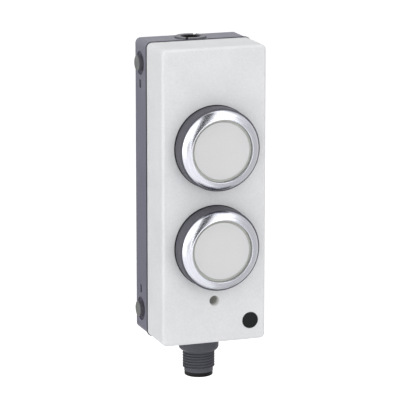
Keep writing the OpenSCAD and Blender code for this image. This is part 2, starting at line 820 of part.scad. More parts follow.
rear_housing();
front_cover();
housing_gasket();
side_screws();
top_ring();
top_insert();
circuit_board();
board_screws();
status_led();
status_lens();
blank_inlay();
connector_shell();
connector_insert();
connector_pins();
connector_seal();
connector_locknut();
at_button(1) collar_seal();  // upper_collar_seal
at_button(1) collar();  // upper_collar
at_button(1) bezel();  // upper_bezel
at_button(1) fixing_nut();  // upper_fixing_nut
at_button(1) wiper_seal();  // upper_wiper_seal
at_button(1) lens();  // upper_lens
at_button(1) diffuser();  // upper_diffuser
at_button(1) plunger();  // upper_plunger
at_button(1) contact_bridges();  // upper_contact_bridges
at_button(1) return_spring();  // upper_return_spring
at_button(1) contact_block();  // upper_contact_block
at_button(1) fixed_contacts();  // upper_fixed_contacts
at_button(1) led();  // upper_led
at_button(-1) collar_seal();  // lower_collar_seal
at_button(-1) collar();  // lower_collar
at_button(-1) bezel();  // lower_bezel
at_button(-1) fixing_nut();  // lower_fixing_nut
at_button(-1) wiper_seal();  // lower_wiper_seal
at_button(-1) lens();  // lower_lens
at_button(-1) diffuser();  // lower_diffuser
at_button(-1) plunger();  // lower_plunger
at_button(-1) contact_bridges();  // lower_contact_bridges
at_button(-1) return_spring();  // lower_return_spring
at_button(-1) contact_block();  // lower_contact_block
at_button(-1) fixed_contacts();  // lower_fixed_contacts
at_button(-1) led();  // lower_led
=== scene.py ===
"""Looks of a pushbutton control station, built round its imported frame.

Pieces are modelled in millimetres in the panel frame: x to the right, y up, z out of the wall.
"""

import math

import bmesh
import bpy
from mathutils import Matrix, Vector


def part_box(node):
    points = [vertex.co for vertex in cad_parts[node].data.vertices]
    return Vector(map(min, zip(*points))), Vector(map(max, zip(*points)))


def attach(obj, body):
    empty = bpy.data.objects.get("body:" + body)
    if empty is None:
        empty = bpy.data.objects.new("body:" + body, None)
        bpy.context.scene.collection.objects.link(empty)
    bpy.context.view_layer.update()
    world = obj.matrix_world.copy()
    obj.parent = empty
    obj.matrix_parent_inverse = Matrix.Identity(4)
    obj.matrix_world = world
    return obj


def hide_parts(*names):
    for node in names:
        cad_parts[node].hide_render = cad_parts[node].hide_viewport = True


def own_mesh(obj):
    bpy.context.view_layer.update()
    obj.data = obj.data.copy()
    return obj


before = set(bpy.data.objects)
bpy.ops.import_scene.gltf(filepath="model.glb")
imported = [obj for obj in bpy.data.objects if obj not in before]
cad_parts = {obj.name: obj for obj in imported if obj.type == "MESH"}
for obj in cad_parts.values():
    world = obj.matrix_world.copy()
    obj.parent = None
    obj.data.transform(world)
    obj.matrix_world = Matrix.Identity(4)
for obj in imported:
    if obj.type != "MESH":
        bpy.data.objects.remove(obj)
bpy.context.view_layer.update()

MM = 0.001
QUARTER = math.radians(90)

# From panel millimetres to the frame's metres, where the panel faces -Y
PANEL = Matrix.Scale(MM, 4) @ Matrix.Rotation(QUARTER, 4, "X")

# How a shape that is made along z is turned in the panel frame
FACING = {
    "out": Matrix.Identity(4),
    "down": Matrix.Rotation(QUARTER, 4, "X"),
    "up": Matrix.Rotation(-QUARTER, 4, "X"),
    "right": Matrix.Rotation(QUARTER, 4, "Y"),
    "left": Matrix.Rotation(-QUARTER, 4, "Y"),
}


def at(x, y, z, facing="out"):
    """Place in the panel frame, with the direction that a shape's z axis gets there."""
    return Matrix.Translation((x, y, z)) @ FACING[facing]


def outwards(x):
    """Direction that leads out of the housing through its right or left side."""
    return "right" if x > 0 else "left"


def span(node):
    """Lowest and highest corner of a CAD node, in panel millimetres."""
    low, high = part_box(node)
    return Vector((low.x, low.z, -high.y)) / MM, Vector((high.x, high.z, -low.y)) / MM


def middle(node):
    """Centre of a CAD node's box, in panel millimetres."""
    low, high = span(node)
    return (low + high) / 2


# Places and sizes that the frame gives, in panel millimetres
COVER_LOW, COVER_HIGH = span("front_cover")
WIDTH = COVER_HIGH.x - COVER_LOW.x
HEIGHT = COVER_HIGH.y - COVER_LOW.y
BASE_TOP = span("housing_gasket")[0].z
PANEL_Z = span("upper_collar_seal")[0].z
SLEEVE_END = span("upper_collar")[0].z
COLLAR_TOP = span("upper_collar")[1].z
COLLAR_R = span("upper_collar")[1].x
BEZEL_R = span("upper_bezel")[1].x
BEZEL_TOP = span("upper_bezel")[1].z
LENS_LOW = span("upper_lens")[0].z
LENS_HIGH = span("upper_lens")[1].z
STATUS_LOW, STATUS_HIGH = span("status_lens")
INLAY_LOW, INLAY_HIGH = span("blank_inlay")
RING_LOW, RING_HIGH = span("top_ring")
STATUS = middle("status_lens")
INLAY = middle("blank_inlay")
RING = middle("top_ring")
PLUG_DEPTH = middle("connector_shell").z
PLUG = at(0, -HEIGHT / 2, PLUG_DEPTH, "down")
BUTTONS = {side: middle(side + "_bezel").y for side in ("upper", "lower")}

# How far a cutter runs past what it cuts, and how far a part that is built on reaches into the rest
PAST = 1
OVERLAP = 0.1
# Heights closer than this are the same
NEAR = 0.01
# Usual rounding of an edge, and the angle in degrees from which shading breaks at an edge
SOFT_EDGE = 0.15
SHARP_FROM = 35

# Casings
SEAM = 0.4
CORNER_R = 2
EDGE_R = 1.2
INNER_R = 1.2
WALL = 2.4
BACK_T = 3
PANEL_T = 3
PANEL_IN = PANEL_Z - PANEL_T
TONGUE_R = 9
INNER_X = WIDTH / 2 - WALL
INNER_Y = HEIGHT / 2 - WALL
CORNERS = [(x, y) for x in (-1, 1) for y in (-1, 1)]

# Legs and hooks of the cover, with their clearance to the rear housing's walls
PLAY = 0.3
LEG_T = 3.2
LEG_W = 7
LEG_LOW = BACK_T + 0.6
HOOK_T = 1.2
HOOK_W = 2.4
HOOK_NOSE = 1.2
HOOK_Y = HEIGHT / 2 - 16.3
WINDOW_W = HOOK_W + 0.6
WINDOW_H = 2

# Side screws. Their axes and the hooks' windows lie at one depth.
SIDE_DEPTH = 5.4
SCREW_Y = HEIGHT / 2 - 8.6
SCREW_HOLE_R = 1.55
SHANK_R = 1.45
HEAD_R = 2.85
HEAD_H = 1.9
RECESS_R = 4.4
RECESS_DEPTH = 0.5

# Mounting holes, the posts of the circuit board, and the shallow pockets of the mounting face
MOUNT_Y = 32.5
MOUNT_HOLE_R = 2.65
POST = Vector((10.5, 36.5))
POST_R = 3
POST_HOLE_R = 1.1
POCKET_RIM = 4
POCKET_RIB = 12
POCKET_DEPTH = 0.6

# Ring in the top wall
RING_OUTER_R = 5.6
RING_BORE_R = 3.8
RING_SEAT_R = 5.9
RING_HOLE_R = 2.9
NOTCH_W = 1.1
NOTCH_DEPTH = 0.9
NOTCH_TURNS = (55, 235)
RING_INSERT_R = 3.7
RING_STEM_R = 2.8

# Status light and inlay
STATUS_HOLE_R = 1.9
BOSS_R = 3.3
BOSS_H = 5
GUIDE_R = 1.8
GUIDE_END_R = 1.87
GUIDE_FOOT_R = 2.9
GUIDE_FOOT_T = 1
DISH_DEPTH = 0.6
INLAY_R = 3.05
INLAY_SEAT_R = 3.1

# Button head
BUTTON_HOLE_R = 11.1
SLEEVE_R = 11
SLEEVE_BORE_R = 9.3
GROOVE_R = 9.95
GROOVE_LOW = SLEEVE_END + 8.45
GROOVE_HIGH = GROOVE_LOW + 1.3
COLLAR_SEAT = PANEL_Z + 0.5
COLLAR_FLOOR = COLLAR_SEAT + 1
COLLAR_BORE_R = 13
BEZEL_BORE_R = 11.5
BEZEL_SKIRT_R = 12.9
BEZEL_SKIRT_LOW = COLLAR_FLOOR + 1.2
CROWN_R = 4.6
LENS_SKIRT_R = 11.46
LENS_BORE_R = 10.35
LENS_FACE_R = 10.62
COIL_R = 6.6
WIRE_R = 0.4

# Round connector, measured downwards from the bottom wall
PLUG_HOLE_R = 6
PLUG_SEAL_T = 0.5
SHELL_IN = -5.6
SHELL_STEM_R = 5.9
SHELL_BORE_R = 4.65
FLANGE_R = 7.5
FLANGE_ROUND = 1.7
FLANGE_END = 5.2
NECK_R = 5.75
THREAD_R = 6
THREAD_CORE_R = 5.4
THREAD_START = 7.6
THREAD_END = 13.35
# The real pitch is 1 mm. It is drawn at 1.05 mm, so that the crests lie as far apart as in the photograph.
THREAD_PITCH = 1.05
SPIGOT_R = 5.4
SPIGOT_END = 14.9
PLUG_INSERT_IN = -6
PLUG_INSERT_R = 4.6
LIP_R = 5.3
LIP_END = 16.5
SOCKET_R = 4.1
SOCKET_FLOOR = 7.9
KEY_W = 1.2
PIN_HOLE_R = 0.55
PIN_CIRCLE_R = 2.5

# Name of the map that brushed metal is laid on
ROUND_MAP = "round"


def new_block(low, high):
    """Block between two corners."""
    bm = bmesh.new()
    low, high = Vector(low), Vector(high)
    shape = Matrix.Translation((low + high) / 2) @ Matrix.Diagonal((high - low).to_4d())
    bmesh.ops.create_cube(bm, size=1, matrix=shape)
    return bm


def new_rod(radius, height, place, sides=48):
    """Round bar that starts at its place and runs along that place's z axis."""
    bm = bmesh.new()
    shape = place @ Matrix.Translation((0, 0, height / 2))
    bmesh.ops.create_cone(bm, cap_ends=True, segments=sides, radius1=radius, radius2=radius, depth=height,
                          matrix=shape)
    return bm


def new_turning(outline, steps):
    """Spins an outline of (radius, height) points about z. It is a loop unless its ends are on the axis."""
    bm = bmesh.new()
    points = [bm.verts.new((radius, 0, height)) for radius, height in outline]
    pairs = list(zip(points, points[1:]))
    if outline[0][0] > 0:
        pairs.append((points[-1], points[0]))
    edges = [bm.edges.new(pair) for pair in pairs]
    bmesh.ops.spin(bm, geom=points + edges, cent=(0, 0, 0), axis=(0, 0, 1), angle=math.tau, steps=steps,
                   use_merge=True)
    bmesh.ops.remove_doubles(bm, verts=bm.verts, dist=1e-4)
    bmesh.ops.recalc_face_normals(bm, faces=bm.faces)
    return bm


def arc(centre, radius, start, end, steps):
    """Points along a round stretch of an outline, from one angle to another in degrees."""
    turns = [math.radians(start + (end - start) * i / steps) for i in range(steps + 1)]
    return [(centre[0] + radius * math.cos(a), centre[1] + radius * math.sin(a)) for a in turns]


def soften(bm, width=SOFT_EDGE, segments=2, sharper_than=30, where=lambda edge: True):
    """Rounds the edges of a shape that are sharper than an angle in degrees."""
    edges = [e for e in bm.edges
             if e.is_manifold and e.calc_face_angle(0) > math.radians(sharper_than) and where(e)]
    bmesh.ops.bevel(bm, geom=edges, offset=width, offset_type="OFFSET", affect="EDGES", segments=segments,
                    profile=0.5, material=-1, clamp_overlap=True)


def as_object(bm, name):
    """Object with the mesh of a shape."""
    mesh = bpy.data.meshes.new(name)
    bm.to_mesh(mesh)
    bm.free()
    obj = bpy.data.objects.new(name, mesh)
    bpy.context.scene.collection.objects.link(obj)
    return obj


def carve(bm, cutters, operation="DIFFERENCE"):
    """Takes other shapes out of a shape, or builds them on to it."""
    blank = as_object(bm, "blank")
    tools = [as_object(cutter, "tool") for cutter in cutters]
    for tool in tools:
        cut = blank.modifiers.new("cut", "BOOLEAN")
        cut.object = tool
        cut.operation = operation
        cut.solver = "EXACT"
    result = bpy.data.meshes.new_from_object(blank.evaluated_get(bpy.context.evaluated_depsgraph_get()))
    bm = bmesh.new()
    bm.from_mesh(result)
    for obj in [blank] + tools:
        bpy.data.meshes.remove(obj.data)
    bpy.data.meshes.remove(result)
    return bm


def join(bm, other):
    """Adds another shape to a shape, as a shell of its own."""
    mesh = bpy.data.meshes.new("joined")
    other.to_mesh(mesh)
    other.free()
    bm.from_mesh(mesh)
    bpy.data.meshes.remove(mesh)


def finish_piece(bm, name, materials, body, replaced, place=FACING["out"]):
    """Makes a shape a piece of the object, in the frame's metres."""
    bmesh.ops.transform(bm, matrix=PANEL @ place, verts=bm.verts)
    bmesh.ops.recalc_face_normals(bm, faces=bm.faces)
    obj = as_object(bm, name)
    for material in materials:
        obj.data.materials.append(material)
    obj.data.shade_smooth()
    obj.data.set_sharp_from_angle(angle=math.radians(SHARP_FROM))
    even = obj.modifiers.new("even shading", "WEIGHTED_NORMAL")
    even.keep_sharp = True
    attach(obj, body)
    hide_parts(*replaced)
    return obj


def linear(code):
    """Linear colour of an sRGB hex value."""
    parts = [int(code[i:i + 2], 16) / 255 for i in (1, 3, 5)]
    return [p / 12.92 if p <= 0.04045 else ((p + 0.055) / 1.055) ** 2.4 for p in parts] + [1]


def add(tree, kind, inputs=None, **settings):
    """Adds a node with its settings. An input is a value, or another node's socket, which is linked."""
    node = tree.nodes.new(kind)
    for name, value in settings.items():
        setattr(node, name, value)
    for key, value in (inputs or {}).items():
        if isinstance(value, bpy.types.NodeSocket):
            tree.links.new(value, node.inputs[key])
        else:
            node.inputs[key].default_value = value
    return node


def new_material(name, sockets):
    """Material with one shader, whose plain sockets are given."""
    material = bpy.data.materials.new(name)
    material.use_nodes = True
    tree = material.node_tree
    tree.nodes.clear()
    shader = add(tree, "ShaderNodeBsdfPrincipled", sockets)
    add(tree, "ShaderNodeOutputMaterial", {"Surface": shader.outputs[0]})
    return material, tree, shader


def grained(name, dark, light, grain, relief, roughness, cloud=15, **sockets):
    """Surface with a fine grain: two close tones, a little relief and uneven gloss. Sizes in millimetres."""
    spread = 0.05
    material, tree, shader = new_material(name, {k.replace("_", " "): v for k, v in sockets.items()})
    place = add(tree, "ShaderNodeTexCoord").outputs["Object"]
    fine = add(tree, "ShaderNodeTexNoise", {"Vector": place, "Scale": 1 / (grain * MM), "Detail": 3.0})
    broad = add(tree, "ShaderNodeTexNoise", {"Vector": place, "Scale": 1 / (cloud * MM), "Detail": 2.0})
    both = add(tree, "ShaderNodeMath", {0: fine.outputs[0], 1: broad.outputs[0]}, operation="ADD")
    share = add(tree, "ShaderNodeMapRange", {"Value": both.outputs[0], "From Min": 0.7, "From Max": 1.3})
    tone = add(tree, "ShaderNodeValToRGB", {"Fac": share.outputs[0]})
    tone.color_ramp.elements[0].color = linear(dark)
    tone.color_ramp.elements[1].color = linear(light)
    gloss = add(tree, "ShaderNodeMapRange", {"Value": fine.outputs[0], "From Min": 0.3, "From Max": 0.7,
                                             "To Min": roughness - spread, "To Max": roughness + spread})
    bumps = add(tree, "ShaderNodeBump", {"Height": fine.outputs[0], "Distance": relief * MM})
    tree.links.new(tone.outputs[0], shader.inputs["Base Color"])
    tree.links.new(gloss.outputs[0], shader.inputs["Roughness"])
    tree.links.new(bumps.outputs[0], shader.inputs["Normal"])
    return material


def brushed_round(name, dark, light, line, relief, roughness, spread, anisotropy):
    """Metal that was brushed while it turned on a button's axis. Line spacing and relief in millimetres."""
    material, tree, shader = new_material(name, {"Metallic": 1.0, "Anisotropic": anisotropy})
    place = add(tree, "ShaderNodeTexCoord").outputs["Object"]
    parts = add(tree, "ShaderNodeSeparateXYZ", {"Vector": place})
    above = add(tree, "ShaderNodeMath", {0: parts.outputs["Z"]}, operation="ABSOLUTE")
    across = add(tree, "ShaderNodeMath", {0: above.outputs[0], 1: BUTTONS["upper"] * MM},
                 operation="SUBTRACT")
    flat = add(tree, "ShaderNodeCombineXYZ", {"X": parts.outputs["X"], "Y": across.outputs[0]})
    radius = add(tree, "ShaderNodeVectorMath", {0: flat.outputs[0]}, operation="LENGTH")
    towards = add(tree, "ShaderNodeVectorMath", {0: flat.outputs[0]}, operation="NORMALIZE")
    lines = add(tree, "ShaderNodeMath", {0: radius.outputs["Value"], 1: 1 / (line * MM)},
                operation="MULTIPLY")
    direction = add(tree, "ShaderNodeSeparateXYZ", {"Vector": towards.outputs[0]})
    along = add(tree, "ShaderNodeCombineXYZ", {"X": direction.outputs["X"], "Y": direction.outputs["Y"],
                                               "Z": lines.outputs[0]})
    scratch = add(tree, "ShaderNodeTexNoise", {"Vector": along.outputs[0], "Scale": 1.6, "Detail": 3.0,
                                               "Roughness": 0.65})
    tone = add(tree, "ShaderNodeValToRGB", {"Fac": scratch.outputs[0]})
    tone.color_ramp.elements[0].position = 0.3
    tone.color_ramp.elements[0].color = linear(dark)
    tone.color_ramp.elements[1].position = 0.7
    tone.color_ramp.elements[1].color = linear(light)
    gloss = add(tree, "ShaderNodeMapRange", {"Value": scratch.outputs[0], "From Min": 0.3, "From Max": 0.7,
                                             "To Min": roughness + spread, "To Max": roughness - spread})
    bumps = add(tree, "ShaderNodeBump", {"Height": scratch.outputs[0], "Distance": relief * MM})
    grooves = add(tree, "ShaderNodeTangent", direction_type="UV_MAP", uv_map=ROUND_MAP)
    tree.links.new(tone.outputs[0], shader.inputs["Base Color"])
    tree.links.new(gloss.outputs[0], shader.inputs["Roughness"])
    tree.links.new(bumps.outputs[0], shader.inputs["Normal"])
    tree.links.new(grooves.outputs[0], shader.inputs["Tangent"])
    return material


def clear_with_painted_shade(name, core, rim, shade_spot, core_radius, rim_radius, roughness, **sockets):
    """Clear plastic with painted shade: dark round a point and pale further off, in panel millimetres."""
    patch, waver = 0.5, 0.15
    material, tree, shader = new_material(name, {"Roughness": roughness, **sockets})
    place = add(tree, "ShaderNodeTexCoord").outputs["Object"]
    away = add(tree, "ShaderNodeVectorMath", {0: place, 1: PANEL @ Vector(shade_spot)}, operation="DISTANCE")
    cloud = add(tree, "ShaderNodeTexNoise", {"Vector": place, "Scale": 1 / (patch * MM), "Detail": 2.0})
    wander = add(tree, "ShaderNodeMapRange", {"Value": cloud.outputs[0], "To Min": -waver * MM,
                                              "To Max": waver * MM})
    reach = add(tree, "ShaderNodeMath", {0: away.outputs["Value"], 1: wander.outputs[0]}, operation="ADD")
    share = add(tree, "ShaderNodeMapRange", {"Value": reach.outputs[0], "From Min": core_radius * MM,
                                             "From Max": rim_radius * MM}, interpolation_type="SMOOTHSTEP")
    tone = add(tree, "ShaderNodeValToRGB", {"Fac": share.outputs[0]})
    tone.color_ramp.elements[0].color = linear(core)
    tone.color_ramp.elements[1].color = linear(rim)
    tree.links.new(tone.outputs[0], shader.inputs["Base Color"])
    return material


# The real grain of these surfaces is about 0.1 mm or finer. It is drawn at 0.3 to 0.9 mm, so that it shows
# as a faint mottle.

# Cover: light grey ABS moulded in a spark-eroded mould, a satin skin with a very fine grain.
cover_abs = grained("moulded_abs_light_grey", "#D9DADC", "#E2E3E5", 0.7, 0.006, 0.6, IOR=1.53,
                    Specular_IOR_Level=0.25)

# Rear housing: dark grey glass-filled polyamide, matt and slightly cloudy, with a cool violet cast.
base_polyamide = grained("moulded_polyamide_dark_grey", "#6A6A78", "#727280", 0.6, 0.008, 0.5, IOR=1.53,
                         Specular_IOR_Level=0.5)

# Bottom of the screw recesses: the same plastic with painted shade, darker, and a little rougher.
shaded_recess_polyamide = grained("moulded_polyamide_painted_recess_shade", "#4E4E5A", "#565662", 0.6, 0.008, 0.65, IOR=1.53,
                           Specular_IOR_Level=0.2)

# Collars: polyamide from a finer mould, darker than the rear housing and with half its relief.
collar_polyamide = grained("moulded_polyamide_graphite", "#4E4D55", "#55545D", 0.5, 0.004, 0.5, IOR=1.53,
                           Specular_IOR_Level=0.3)

# Seals: EPDM rubber, nearly black and dull.
seal_rubber = grained("moulded_epdm_rubber_black", "#151516", "#1D1D1F", 0.4, 0.006, 0.75, IOR=1.5,
                      Specular_IOR_Level=0.2)

# Gasket in the seam: the same rubber, greyed by talc.
gasket_rubber = grained("talced_epdm_rubber_grey", "#404046", "#4A4A50", 0.4, 0.006, 0.75, IOR=1.5,
                        Specular_IOR_Level=0.2)

# Connector: moulded polyamide, an even dark slate grey without a clear sheen.
plug_polyamide = grained("moulded_polyamide_slate", "#484950", "#505158", 0.5, 0.004, 0.5, IOR=1.53,
                         Specular_IOR_Level=0.2)

# Connector insert and ring insert: black polyurethane, smooth with a faint sheen.
insert_black = grained("moulded_polyurethane_black", "#0B0B0C", "#111112", 0.6, 0.003, 0.45, IOR=1.5,
                       Specular_IOR_Level=0.15)

# Lens: frosted polycarbonate over a milky disc, an even off-white without clear reflections.
lens_polycarbonate = grained("frosted_polycarbonate_white", "#CFCFD0", "#D5D5D6", 0.6, 0.004, 0.6, IOR=1.58,
                             Specular_IOR_Level=0.25)

# Low band of the lens: the same plastic, greenish where seen through its edge, and darker as painted shade of
# the low band.
lens_band_shaded = grained("frosted_polycarbonate_band_painted_shade", "#B0B2AA", "#BABCB4", 0.6, 0.003, 0.4, IOR=1.58)

# Light guide: clear acrylic with painted shade, dark round a spot up and left of the dish's middle and pale
# further off.
DISH_SHADE_SPOT = (-0.5, STATUS.y + 0.4, STATUS_HIGH.z - 0.3)
DISH_SHADE_CORE_R = 1.25
DISH_SHADE_RIM_R = 2.5
guide_acrylic_shaded = clear_with_painted_shade("moulded_acrylic_painted_dish_shade", "#5A5955", "#C6C6C4", DISH_SHADE_SPOT, DISH_SHADE_CORE_R,
                                DISH_SHADE_RIM_R, 0.3, IOR=1.49)

# Inlay: black label stock of matt polyester, quite plain.
inlay_polyester = grained("printed_polyester_black", "#0F1112", "#151718", 0.3, 0.002, 0.6, IOR=1.6,
                          Specular_IOR_Level=0.15)

# Notched ring: the rear housing's polyamide, a little greyer where fingers and tools have worn it.
ring_polyamide = grained("moulded_polyamide_worn", "#66666E", "#72727A", 0.5, 0.006, 0.5, IOR=1.53,
                         Specular_IOR_Level=0.4)

# Side screws: phosphated steel, matt and dark grey with a greenish bloom.
screw_phosphate = grained("phosphated_steel", "#5C5E5E", "#747775", 0.4, 0.004, 0.55, cloud=3, IOR=1.6)

# Rims of their heads: the same steel with painted shade, darker, and a painted violet reflection of the
# plastic round them.
shaded_rim_phosphate = grained("phosphated_steel_painted_rim_shade", "#4C4B53", "#5A5961", 0.4, 0.004, 0.6, IOR=1.6,
                        Specular_IOR_Level=0.2)

# Board screws, spring wire and nuts: plain bright metals inside the housing.
board_screw_steel = grained("bright_steel_screw", "#B9BABD", "#CDCED0", 0.4, 0.003, 0.28, Metallic=1.0)
spring_steel = grained("drawn_spring_steel", "#A9AAAD", "#BFC0C3", 0.3, 0.003, 0.24, Metallic=1.0)
nut_zamak = grained("cast_zinc_alloy", "#9B9CA0", "#ACADB0", 0.7, 0.010, 0.42, Metallic=1.0)

# Contacts and pins: brass with a thin layer of gold, warm and bright.
contact_brass = grained("gold_plated_brass", "#D0AE62", "#DEC07A", 0.3, 0.002, 0.24, Metallic=1.0)

# Circuit board: green lacquer on glass fibre.
board_lacquer = grained("lacquered_glass_fibre_green", "#12492B", "#1B5C38", 0.9, 0.012, 0.32, IOR=1.55)

# Contact blocks: dark moulded polyester. Plungers: grey acetal, slippery and even.
block_plastic = grained("moulded_polyester_black", "#29292B", "#333335", 0.5, 0.006, 0.5, IOR=1.55)
plunger_acetal = grained("moulded_acetal_grey", "#85878B", "#909296", 0.5, 0.003, 0.38, IOR=1.48)

# Diffusers: milky acrylic. Light sources: clear epoxy over a pale base.
diffuser_acrylic = grained("milky_acrylic", "#E6E6E2", "#EFEFEB", 0.6, 0.002, 0.45, IOR=1.49)
led_epoxy = grained("clear_epoxy_pale", "#DADBCE", "#E8E9DC", 0.4, 0.002, 0.15, IOR=1.54)

# Bezels: stainless steel, turned and brushed round, which draws each reflection out across the lines.
# The real lines are 0.05 mm apart; they are drawn at 0.3 mm so that they show.
bezel_steel = brushed_round("brushed_stainless_steel", "#BDBEC6", "#D2D3DA", 0.3, 0.002, 0.23, 0.03, 0.5)


def rounded_block(low, high, radius):
    """Block with round long corners."""
    bm = new_block(low, high)
    long_edges = [e for e in bm.edges if abs(e.verts[0].co.z - e.verts[1].co.z) > 1]
    bmesh.ops.bevel(bm, geom=long_edges, offset=radius, offset_type="OFFSET", affect="EDGES", segments=12,
                    profile=0.5, material=-1)
    return bm


def inside_block(low, high):
    """Block that fills the inside of a casing between two depths."""
    return rounded_block((-INNER_X, -INNER_Y, low), (INNER_X, INNER_Y, high), INNER_R)


def mirrored_block(low, high, x, y):
    """Block between two corners, put in one of the four corners of the panel."""
    xs, ys = sorted((x * low[0], x * high[0])), sorted((y * low[1], y * high[1]))
    return new_block((xs[0], ys[0], low[2]), (xs[1], ys[1], high[2]))


def side_rod(x, y, radius, inner, outer, sides=32):
    """Rod on a side screw's axis, between two distances from the middle of the panel."""
    return new_rod(radius, outer - inner, at(x * inner, y * SCREW_Y, SIDE_DEPTH, outwards(x)), sides)


def hook(x, y):
    """Hook of the cover, whose nose snaps into a window of the rear housing."""
    outer = INNER_X - PLAY
    inner = outer - HOOK_T
    tip, root = SIDE_DEPTH - 0.8, PANEL_IN + OVERLAP
    slope_top, ledge = tip + 1.4, tip + 1.6
    outline = [(inner, root), (inner, tip), (outer, tip), (outer + HOOK_NOSE, slope_top), (outer, ledge),
               (outer, root)]
    low_y = y * HOOK_Y - HOOK_W / 2
    bm = bmesh.new()
    side = bm.faces.new([bm.verts.new((x * across, low_y, height)) for across, height in outline])
    moved = bmesh.ops.extrude_face_region(bm, geom=[side])
    far = [v for v in moved["geom"] if isinstance(v, bmesh.types.BMVert)]
    bmesh.ops.translate(bm, vec=(0, HOOK_W, 0), verts=far)
    bmesh.ops.recalc_face_normals(bm, faces=bm.faces)
    return bm


def cover_shell():
    """Light cover: round corners, rounded front edge, hollow, with its legs and hooks."""
    bottom = BASE_TOP + SEAM
    bm = rounded_block((-WIDTH / 2, -HEIGHT / 2, bottom), (WIDTH / 2, HEIGHT / 2, PANEL_Z), CORNER_R)
    soften(bm, EDGE_R, 8, where=lambda e: all(abs(v.co.z - PANEL_Z) < NEAR for v in e.verts))
    bm = carve(bm, [inside_block(bottom - PAST, PANEL_IN)])
    leg_out = INNER_X - PLAY
    leg_in = leg_out - LEG_T
    leg_corners = ((leg_in, SCREW_Y - LEG_W / 2, LEG_LOW), (leg_out, SCREW_Y + LEG_W / 2, PANEL_IN + OVERLAP))
    parts = [mirrored_block(*leg_corners, x, y) for x, y in CORNERS]
    parts += [hook(x, y) for x, y in CORNERS]
    parts.append(new_rod(BOSS_R, BOSS_H + OVERLAP, at(0, STATUS.y, PANEL_IN - BOSS_H), 64))
    bm = carve(bm, parts, "UNION")
    holes = [new_rod(BUTTON_HOLE_R, PANEL_T + 2 * PAST, at(0, y, PANEL_IN - PAST), 96)
             for y in BUTTONS.values()]
    holes.append(new_rod(STATUS_HOLE_R, BOSS_H + PANEL_T + 2 * PAST,
                         at(0, STATUS.y, PANEL_IN - BOSS_H - PAST), 64))
    holes.append(new_rod(INLAY_SEAT_R, PANEL_T, at(INLAY.x, INLAY.y, INLAY_LOW.z), 64))
    holes.append(new_rod(TONGUE_R + SEAM, WALL + 2 * PAST, at(0, PAST - INNER_Y, PLUG_DEPTH, "down"), 96))
    holes += [side_rod(x, y, SCREW_HOLE_R, leg_in - PAST, leg_out + PAST) for x, y in CORNERS]
    bm = carve(bm, holes)
    soften(bm)
    finish_piece(bm, "cover_shell", [cover_abs], "housing", ["front_cover"])


def tray_shell():
    """Dark rear housing: tray with a tongue, posts, screw recesses, windows and the seat of the ring."""
    bm = rounded_block((-WIDTH / 2, -HEIGHT / 2, 0), (WIDTH / 2, HEIGHT / 2, BASE_TOP), CORNER_R)
    bm = carve(bm, [inside_block(BACK_T, BASE_TOP + PAST)])
    board = span("circuit_board")[0].z
    parts = [new_rod(TONGUE_R, WALL, at(0, -INNER_Y, PLUG_DEPTH, "down"), 96)]
    parts.append(new_block((-TONGUE_R, -HEIGHT / 2, BASE_TOP - PAST), (TONGUE_R, -INNER_Y, PLUG_DEPTH)))
    parts += [new_rod(POST_R, board - BACK_T + OVERLAP, at(x * POST.x, y * POST.y, BACK_T - OVERLAP))
              for x, y in CORNERS]
    bm = carve(bm, parts, "UNION")
    holes = [new_rod(MOUNT_HOLE_R, BACK_T + 2 * PAST, at(0, y * MOUNT_Y, -PAST), 64) for y in (-1, 1)]
    holes.append(new_rod(PLUG_HOLE_R, WALL + 2 * PAST, at(0, PAST - INNER_Y, PLUG_DEPTH, "down"), 96))
    holes.append(new_rod(RING_HOLE_R, WALL + 2 * PAST, at(RING.x, INNER_Y - PAST, RING.z, "up"), 64))
    window = ((INNER_X - PAST, HOOK_Y - WINDOW_W / 2, SIDE_DEPTH - WINDOW_H / 2),
              (WIDTH / 2 + PAST, HOOK_Y + WINDOW_W / 2, SIDE_DEPTH + WINDOW_H / 2))
    pocket = ((POCKET_RIB / 2, POCKET_RIB / 2, -PAST),
              (WIDTH / 2 - POCKET_RIM, HEIGHT / 2 - 2 * POCKET_RIM, POCKET_DEPTH))
    for x, y in CORNERS:
        holes.append(new_rod(POST_HOLE_R, board, at(x * POST.x, y * POST.y, BACK_T), 24))
        holes.append(side_rod(x, y, RECESS_R, WIDTH / 2 - RECESS_DEPTH, WIDTH / 2 + PAST, 72))
        holes.append(side_rod(x, y, SCREW_HOLE_R, INNER_X - PAST, WIDTH / 2))
        holes.append(mirrored_block(*window, x, y))
        holes.append(mirrored_block(*pocket, x, y))
    holes.append(new_rod(RING_SEAT_R, WALL, at(RING.x, RING_LOW.y, RING.z, "up"), 96))
    bm = carve(bm, holes)
    soften(bm)
    # The bottoms of the screw recesses get the second material, which carries painted shade
    for face in bm.faces:
        depth = WIDTH / 2 - abs(face.calc_center_median().x)
        if abs(depth - RECESS_DEPTH) < 0.1 and abs(face.normal.x) > 0.9:
            face.material_index = 1
    finish_piece(bm, "tray_shell", [base_polyamide, shaded_recess_polyamide], "housing",
                 ["rear_housing"])


def side_screw_heads():
    """Four screws with flat round heads, whose edge is rounded."""
    edge_r = 0.3
    shank = WALL - RECESS_DEPTH + PLAY + LEG_T
    edge = arc((HEAD_R - edge_r, HEAD_H - edge_r), edge_r, 0, 90, 6)
    outline = [(0, -shank), (SHANK_R, -shank), (SHANK_R, 0), (HEAD_R, 0)] + edge + [(0, HEAD_H)]
    heads = bmesh.new()
    for x, y in CORNERS:
        bm = new_turning(outline, 64)
        # The steep faces are the rim, which has the second material with painted shade
        for face in bm.faces:
            if abs(face.normal.z) < 0.3:
                face.material_index = 1
        place = at(x * (WIDTH / 2 - RECESS_DEPTH), y * SCREW_Y, SIDE_DEPTH, outwards(x))
        bmesh.ops.transform(bm, matrix=place, verts=bm.verts)
        join(heads, bm)
    finish_piece(heads, "side_screw_heads", [screw_phosphate, shaded_rim_phosphate], "housing",
                 ["side_screws"])


